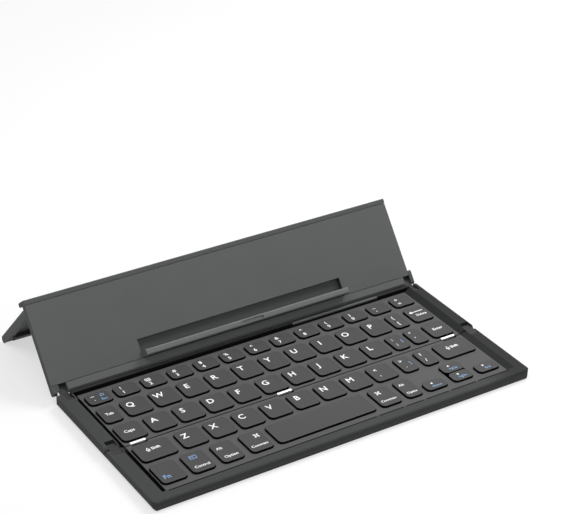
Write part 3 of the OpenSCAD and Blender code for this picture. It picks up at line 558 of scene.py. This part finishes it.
def pick_edges(piece, wanted):
    """Selects the edges whose two ends pass the test, in edit mode."""
    bpy.ops.mesh.select_mode(type="EDGE")
    bpy.ops.mesh.select_all(action="DESELECT")
    bpy.ops.object.mode_set(mode="OBJECT")
    for edge in piece.data.edges:
        ends = [piece.data.vertices[i].co for i in edge.vertices]
        edge.select = wanted(*ends)
    bpy.ops.object.mode_set(mode="EDIT")


def pick_faces(piece, wanted):
    """Selects the faces that pass the test, in edit mode."""
    bpy.ops.mesh.select_mode(type="FACE")
    bpy.ops.mesh.select_all(action="DESELECT")
    bpy.ops.object.mode_set(mode="OBJECT")
    for face in piece.data.polygons:
        face.select = wanted(face)
    bpy.ops.object.mode_set(mode="EDIT")


print("edit tools ready")


# %% Model one key cap
KEY_CORNER = 2.6 * mm
CORNER_STEPS = 7
KEY_EDGE = 0.25 * mm
EDGE_STEPS = 4
SKIRT_NORMAL = 0.75
KEY_WALL = 0.9 * mm
KEY_HOLLOW = 1.5 * mm
DISH_STEPS = 3
DISH_INSET = 0.66 * mm
DISH_DEPTH = 0.12 * mm


def model_cap(name, low, high):
    """One key cap that fills its box."""
    cap = start_cube(name, low, high)
    cap.data.materials.append(looks["key"])
    cap.data.materials.append(looks["skirt"])
    bpy.ops.object.mode_set(mode="EDIT")
    pick_edges(cap, lambda a, b: abs(a.z - b.z) > mm)
    bpy.ops.mesh.bevel(offset=KEY_CORNER, segments=CORNER_STEPS, affect="EDGES")
    top = high.z - 0.01 * mm
    pick_edges(cap, lambda a, b: a.z > top and b.z > top)
    bpy.ops.mesh.bevel(offset=KEY_EDGE, segments=EDGE_STEPS, affect="EDGES", profile=0.5)
    pick_faces(cap, lambda face: face.center.z > top and face.normal.z > 0.99)
    for step in range(DISH_STEPS):
        bpy.ops.mesh.inset(thickness=DISH_INSET)
        bpy.ops.transform.translate(value=(0, 0, -DISH_DEPTH / DISH_STEPS))
    pick_faces(cap, lambda face: face.normal.z < -0.99)
    bpy.ops.mesh.inset(thickness=KEY_WALL)
    bpy.ops.mesh.extrude_region_move(TRANSFORM_OT_translate={"value": (0, 0, KEY_HOLLOW)})
    # Painted shade: the skirt's faces take the near-black skirt material.
    pick_faces(cap, lambda face: face.normal.z < SKIRT_NORMAL)
    cap.active_material_index = 1
    bpy.ops.object.material_slot_assign()
    bpy.ops.object.mode_set(mode="OBJECT")
    bpy.ops.object.shade_smooth_by_angle(angle=math.radians(40))
    return cap


print("cap model ready")


# %% [markdown]
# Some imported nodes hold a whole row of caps. A copy of the node is merged and parted into its
# loose pieces, and each piece's box says where one cap goes.

# %% Find every cap's box
key_nodes = [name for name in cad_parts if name.endswith(("_key", "_keys", "_bar"))]


def cap_boxes(node_name):
    """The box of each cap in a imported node, from left to right."""
    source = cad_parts[node_name]
    copy = source.copy()
    copy.data = source.data.copy()
    copy.parent = None
    bpy.context.scene.collection.objects.link(copy)
    take(copy)
    bpy.ops.object.mode_set(mode="EDIT")
    bpy.ops.mesh.select_all(action="SELECT")
    bpy.ops.mesh.remove_doubles(threshold=0.005 * mm)
    bpy.ops.mesh.separate(type="LOOSE")
    bpy.ops.object.mode_set(mode="OBJECT")
    boxes = []
    for part in list(bpy.context.selected_objects):
        corners = [vertex.co for vertex in part.data.vertices]
        low = Vector([min(c[i] for c in corners) for i in range(3)])
        high = Vector([max(c[i] for c in corners) for i in range(3)])
        boxes.append((low, high))
        bpy.data.objects.remove(part)
    return sorted(boxes, key=lambda box: box[0].x)


caps = {name: cap_boxes(name) for name in key_nodes}


# %% Model all the caps
def join(parts, name):
    """Joins the parts into one object."""
    bpy.ops.object.select_all(action="DESELECT")
    for part in parts:
        part.select_set(True)
    bpy.context.view_layer.objects.active = parts[0]
    if len(parts) > 1:
        bpy.ops.object.join()
    whole = bpy.context.view_layer.objects.active
    whole.name = name
    return whole


for node_name, boxes in caps.items():
    parts = [model_cap(f"{node_name}_{i}", low, high) for i, (low, high) in enumerate(boxes)]
    cap_piece = join(parts, f"caps_{node_name}")
    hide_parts(node_name)
    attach(cap_piece, node_name + "_body")
print("caps modelled")


# %% [markdown]
# ## Printed legends
# Pad printing leaves a film of ink a few hundredths of a millimetre thick. Text objects with
# the built-in font are fattened with the curve's own bevel, made a mesh and pressed flat. A
# sign that the font lacks, such as an arrow, is modelled from flat primitives in the same way.
# A mark's place is measured in millimetres from its cap's left and rear edges.

# %% Print with text
INK = 0.04 * mm
CAPITAL = 0.7  # a capital's height as a share of the font's size


def seat_ink(mark, cap, along, down, ink):
    """Presses a flat mark to the ink's thickness and sets it on a cap."""
    low, high = cap
    thickness = mark.dimensions.z
    mark.scale.z = INK / thickness
    mark.location = (low.x + along * mm, high.y - down * mm, high.z - DISH_DEPTH + INK / 2)
    bpy.ops.object.transform_apply(location=True, rotation=True, scale=True)
    mark.data.materials.clear()
    mark.data.materials.append(looks[ink])
    return mark


def print_words(cap, words, along, down, height, ink="ink_white", fat=0.035):
    """Prints words centred at a place; height is a capital's, fat a share of it."""
    bpy.ops.object.select_all(action="DESELECT")
    bpy.ops.object.text_add(location=(0, 0, 0))
    text = bpy.context.object.data
    text.body = words
    text.align_x = "CENTER"
    text.align_y = "CENTER"
    text.size = height / CAPITAL * mm
    text.bevel_depth = fat * height * mm
    text.bevel_resolution = 0
    text.resolution_u = 3
    bpy.ops.object.convert(target="MESH")
    return seat_ink(bpy.context.object, cap, along, down, ink)


print("text printer ready")


# %% Print signs
def flat_bar(width, depth, at=(0, 0), turn=0):
    """An upright bar of ink, its size in mm."""
    bpy.ops.mesh.primitive_cube_add(size=mm, scale=(width, depth, 1),
                                    location=(at[0] * mm, at[1] * mm, 0),
                                    rotation=(0, 0, math.radians(turn)))
    return bpy.context.object


def flat_head(radius, at=(0, 0), turn=0):
    """A three-cornered arrow head; turn 0 points away from the typist."""
    bpy.ops.mesh.primitive_cylinder_add(vertices=3, radius=radius * mm, depth=mm,
                                        location=(at[0] * mm, at[1] * mm, 0),
                                        rotation=(0, 0, math.radians(turn)))
    return bpy.context.object


def hollow(piece, line):
    """Leaves only a line of ink round a flat shape."""
    take(piece)
    bpy.ops.object.transform_apply(location=True, rotation=True, scale=True)
    bpy.ops.object.mode_set(mode="EDIT")
    pick_faces(piece, lambda face: abs(face.normal.z) > 0.9)
    bpy.ops.mesh.inset(thickness=line * mm)
    bpy.ops.mesh.bridge_edge_loops()
    bpy.ops.object.mode_set(mode="OBJECT")
    return piece


def up_arrow():
    return [hollow(flat_head(1.5, (0, 0.5)), 0.34), hollow(flat_bar(1.3, 1.2, (0, -0.8)), 0.3)]


def long_arrow():
    return [flat_bar(7.4, 0.55, (0.9, 0)), flat_head(1.35, (-3.4, 0), 90)]


def turning_arrow():
    return [flat_bar(2.4, 0.36, (0.2, 0.75)), flat_bar(0.36, 1.8, (1.3, 0)),
            flat_bar(1.6, 0.36, (0.6, -0.75)), flat_head(0.75, (-0.6, -0.75), 90)]


def page_sign():
    return [hollow(flat_bar(4.0, 2.9), 0.4), flat_bar(0.36, 2.4, (0.1, 0)),
            flat_bar(1.4, 0.36, (-1.0, 0.1))]


def cross_sign():
    return [flat_bar(3.6, 0.85, turn=45), flat_bar(3.6, 0.85, turn=-45)]


def small_head(turn):
    return [flat_head(0.95, turn=turn)]


signs = {
    "up arrow": up_arrow, "long arrow": long_arrow, "turning arrow": turning_arrow,
    "page": page_sign, "cross": cross_sign,
    "head left": lambda: small_head(90), "head up": lambda: small_head(0),
    "head down": lambda: small_head(180), "head right": lambda: small_head(-90),
}


def print_sign(cap, sign, along, down, ink="ink_white"):
    """Prints one of the signs centred at a place on a cap."""
    bpy.ops.object.select_all(action="DESELECT")
    mark = join(signs[sign](), "sign")
    bpy.ops.object.transform_apply(location=True, rotation=True, scale=True)
    return seat_ink(mark, cap, along, down, ink)


print(len(signs), "signs")


# %% Set out the legends
LETTER = 3.9
SMALL = 2.5
WORD = 1.9
LETTER_AT = (4.7, 5.2)
BLUE = "ink_blue"
BOLD = (2.0, "ink_white", 0.05)


def word(words, along, down, height, *ink):
    """A row of the table below: words, where they go and how tall they are."""
    return print_words, (words, along, down, height, *ink)


def sign(name, along, down, *ink):
    """A row of the table below: a sign and where it goes."""
    return print_sign, (name, along, down, *ink)


legends = {
    "top_letter_keys": [[word(c, *LETTER_AT, LETTER)] for c in "QWERTYUIOP"],
    "home_letter_keys": [[word(c, *LETTER_AT, LETTER)] for c in "ASDFGHJKL"],
    "bottom_letter_keys": [[word(c, *LETTER_AT, LETTER)] for c in "ZXCVBNM"]
    + [[word("<", 4.6, 4.3, SMALL), word(",", 4.6, 9.2, SMALL)]],
    "number_keys": [[word(mark, 4.3, 2.7, SMALL), word(digit, 4.3, 6.9, SMALL)]
                    for mark, digit in zip("!@#$%^&*()_+", "1234567890-=")],
    "tilde_key": [[word("~", 4.2, 2.8, SMALL), word("`", 4.2, 7.4, SMALL),
                   sign("turning arrow", 9.4, 3.0, BLUE), word("Esc", 9.4, 7.0, 1.8, BLUE)]],
    "tab_key": [[word("Tab", 5.2, 7.2, 2.1)]],
    "caps_lock_key": [[word("Caps", 6.9, 7.2, 2.1)]],
    "left_shift_key": [[sign("up arrow", 7.0, 6.2), word("Shift", 11.4, 6.0, *BOLD)]],
    "right_shift_key": [[sign("up arrow", 7.6, 6.2), word("Shift", 12.0, 6.0, *BOLD)]],
    "bracket_key": [[word("{", 3.9, 4.2, SMALL), word("[", 3.9, 10.2, SMALL)]],
    "delete_key": [[sign("long arrow", 6.5, 4.8), word("Delete", 8.0, 8.4, 1.8)]],
    "enter_key": [[word("Enter", 7.4, 7.0, 2.1)]],
    "semicolon_quote_keys": [
        [word(":", 3.3, 4.2, SMALL), word(";", 3.3, 9.4, SMALL), word("[", 7.8, 7.6, 2.4, BLUE)],
        [word("\"", 3.4, 4.2, SMALL), word("'", 3.4, 9.8, SMALL), word("\\", 9.0, 9.6, 2.2)]],
    "period_slash_keys": [
        [word(">", 3.6, 4.0, SMALL), word(".", 3.6, 9.4, SMALL), word("]", 7.8, 7.6, 2.4, BLUE)],
        [word("?", 3.4, 4.0, SMALL), word("/", 3.4, 9.8, SMALL), word("|", 9.0, 9.6, 2.2)]],
    "fn_key": [[word("Fn", 4.4, 12.0, 3.0, BLUE)]],
    "control_key": [[sign("page", 6.0, 4.4, BLUE), word("Control", 6.9, 12.6, WORD)]],
    "left_option_key": [[word("Alt", 3.9, 4.8, WORD), word("Option", 6.6, 12.6, WORD)]],
    "left_command_key": [[sign("cross", 9.2, 4.6), word("Command", 7.0, 12.4, 1.75)]],
    "right_command_key": [[sign("cross", 4.8, 4.6), word("Command", 7.0, 12.4, 1.75)]],
    "right_option_key": [[word("Alt", 3.6, 4.6, WORD), word("Option", 5.4, 12.6, 1.75)]],
    "left_arrow_key": [[sign("head left", 5.6, 2.6), word("Home", 7.4, 5.4, 1.7, BLUE)]],
    "up_arrow_key": [[sign("head up", 5.6, 2.3), word("PgUp", 7.2, 5.2, 1.7, BLUE)]],
    "down_arrow_key": [[sign("head down", 5.6, 2.4), word("PgDn", 7.2, 5.2, 1.7, BLUE)]],
    "right_arrow_key": [[sign("head right", 5.6, 2.4), word("End", 7.2, 5.2, 1.7, BLUE)]],
}
printed = 0
for node_name, key_marks in legends.items():
    parts = []
    for cap, marks in zip(caps[node_name], key_marks):
        for printer, where in marks:
            parts.append(printer(cap, *where))
    printed += len(parts)
    legend_piece = join(parts, f"legends_{node_name}")
    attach(legend_piece, node_name + "_body")
print(printed, "marks printed")


# %% [markdown]
# ## Small parts that a maker adds last
# A black line of painted shade, standing for the shadow between the front deck and its rim, lies
# on the rim's inner edge. It is broken where five little tabs of the deck reach under the rim.
# Each length of it is a bar at its real size with all its edges rounded.

# %% Lay the painted shade line and its tabs
SHADE_LINE_BACK = -83.5
SHADE_LINE_WIDTH = 0.8
SHADE_LINE_TOP = 6.13
SHADE_LINE_DEPTH = 0.5
SHADE_LINE_ENDS = (-106.5, 107.0)
SHADE_LINE_EDGE = 0.06
TAB_PLACES = (19.6, 37.0, 50.2, 66.8, 85.2)
TAB_BREAK = 2.0
TAB_WIDTH = 1.6
TAB_HEIGHTS = (4.2, 5.6)
TAB_REACH = (-0.1, 0.6)
TAB_EDGE = 0.1


def rounded_bar(name, low, high, edge, look):
    """A bar with all its edges rounded; its corners are in millimetres."""
    bar = start_cube(name, Vector(low) * mm, Vector(high) * mm)
    bar.data.materials.append(looks[look])
    bpy.ops.object.mode_set(mode="EDIT")
    bpy.ops.mesh.select_all(action="SELECT")
    bpy.ops.mesh.bevel(offset=edge * mm, segments=3, affect="EDGES")
    bpy.ops.object.mode_set(mode="OBJECT")
    bpy.ops.object.shade_smooth_by_angle(angle=math.radians(40))
    return bar


breaks = [SHADE_LINE_ENDS[0]]
for place in TAB_PLACES:
    breaks += [place - TAB_BREAK / 2, place + TAB_BREAK / 2]
breaks.append(SHADE_LINE_ENDS[1])
lengths = [rounded_bar(f"seal_{i}", (breaks[i], SHADE_LINE_BACK - SHADE_LINE_WIDTH, SHADE_LINE_TOP - SHADE_LINE_DEPTH),
                       (breaks[i + 1], SHADE_LINE_BACK, SHADE_LINE_TOP), SHADE_LINE_EDGE, "seal")
           for i in range(0, len(breaks), 2)]
seal = join(lengths, "front_shade_line")
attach(seal, "front_panel")

tabs = [rounded_bar(f"tab_{i}",
                    (place - TAB_WIDTH / 2, SHADE_LINE_BACK + TAB_REACH[0], TAB_HEIGHTS[0]),
                    (place + TAB_WIDTH / 2, SHADE_LINE_BACK + TAB_REACH[1], TAB_HEIGHTS[1]),
                    TAB_EDGE, "deck")
        for i, place in enumerate(TAB_PLACES)]
tab_row = join(tabs, "deck_tabs")
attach(tab_row, "front_panel")
print(len(lengths), "lengths of seal and", len(tabs), "tabs")


# %% [markdown]
# Each panel's tray is held to its bezel by small pan-head screws. A head is a short cylinder
# with its rim rounded over and a cross cut into it, so that a driver turns it. The heads stand a
# quarter of a millimetre below the tray, which the feet keep off the table.

# %% Drive the screws
SCREW_SIDES = 28
SCREW_RADIUS = 1.5
SCREW_HEAD = 0.25
SCREW_ROUND = 0.12
SLOT_SIZE = (1.9, 0.34)
SLOT_DEPTH = 0.16
TRAY_UNDER = 0.4
SCREW_COLUMNS = (-92, -31, 31, 92)
SCREW_ROWS = {"middle_panel": (-34.5, 11.0), "front_panel": (-44.0, -85.5)}


def cut(piece, cutter):
    """Takes the cutter's shape out of a piece."""
    take(piece)
    bpy.ops.object.modifier_add(type="BOOLEAN")
    modifier = piece.modifiers[-1]
    modifier.operation = "DIFFERENCE"
    modifier.object = cutter
    bpy.ops.object.modifier_apply(modifier=modifier.name)
    bpy.data.objects.remove(cutter)


def model_screw():
    """A screw head under the tray, at the middle of the frame."""
    bpy.ops.object.select_all(action="DESELECT")
    bpy.ops.mesh.primitive_cylinder_add(
        vertices=SCREW_SIDES, radius=SCREW_RADIUS * mm, depth=SCREW_HEAD * mm,
        location=(0, 0, (TRAY_UNDER - SCREW_HEAD / 2) * mm))
    head = bpy.context.object
    bpy.ops.object.transform_apply(location=True, rotation=True, scale=True)
    under = (TRAY_UNDER - SCREW_HEAD + 0.01) * mm
    bpy.ops.object.mode_set(mode="EDIT")
    pick_edges(head, lambda a, b: a.z < under and b.z < under)
    bpy.ops.mesh.bevel(offset=SCREW_ROUND * mm, segments=3, affect="EDGES")
    bpy.ops.object.mode_set(mode="OBJECT")
    for turn in (45, -45):
        bpy.ops.object.select_all(action="DESELECT")
        bpy.ops.mesh.primitive_cube_add(
            size=mm, scale=(*SLOT_SIZE, 2 * SLOT_DEPTH),
            location=(0, 0, (TRAY_UNDER - SCREW_HEAD) * mm),
            rotation=(0, 0, math.radians(turn)))
        cut(head, bpy.context.object)
    take(head)
    bpy.ops.object.shade_smooth_by_angle(angle=math.radians(35))
    head.data.materials.clear()
    head.data.materials.append(looks["screw"])
    return head


first_screw = model_screw()
for panel, rows in SCREW_ROWS.items():
    heads = []
    for x, y in [(x, y) for x in SCREW_COLUMNS for y in rows]:
        head = first_screw.copy()
        head.data = first_screw.data.copy()
        bpy.context.scene.collection.objects.link(head)
        head.location = (x * mm, y * mm, 0)
        heads.append(head)
    screws = join(heads, f"{panel}_screws")
    bpy.ops.object.transform_apply(location=True, rotation=True, scale=True)
    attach(screws, panel)
bpy.data.objects.remove(first_screw)
print(len(SCREW_COLUMNS) * sum(len(rows) for rows in SCREW_ROWS.values()), "screws")
